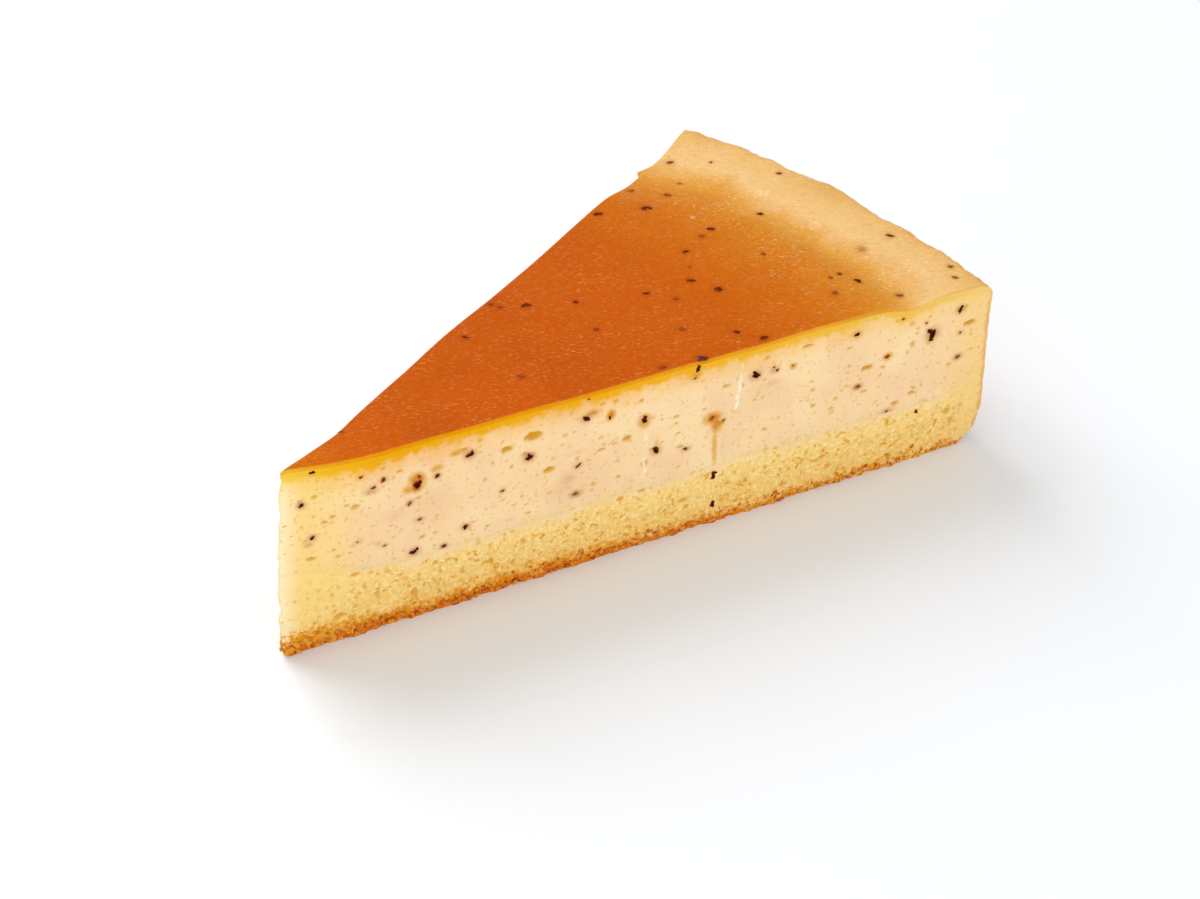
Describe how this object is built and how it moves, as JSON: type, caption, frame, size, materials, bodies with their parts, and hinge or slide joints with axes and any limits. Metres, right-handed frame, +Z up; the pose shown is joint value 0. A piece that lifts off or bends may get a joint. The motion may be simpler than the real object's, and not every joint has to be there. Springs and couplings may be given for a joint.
{
  "type": "cheesecake slice",
  "caption": "Wedge of soft baked cheesecake with a browned skin and dark leaf flecks, on a golden sponge base, cut from a round cake.",
  "frame": {"origin": "middle of the slice's box, on the flat underside of the sponge", "axes": "+X along the slice from its tip to the cake's rim, +Y towards the back cut, +Z up"},
  "size_m": [0.1254, 0.0744, 0.0342],
  "materials": {
    "filling": "moist cream-coloured baked cheese, finely porous at the cuts, with a browned satin skin",
    "skin": "orange-brown baked skin, satin, golden tan by the rim",
    "sponge": "dry open golden crumb with a browned underside",
    "leaf": "dark brown, damp"
  },
  "bodies": {
    "root": {"cheesecake_filling": "filling", "sponge_base": "sponge"}
  },
  "joints": []
}
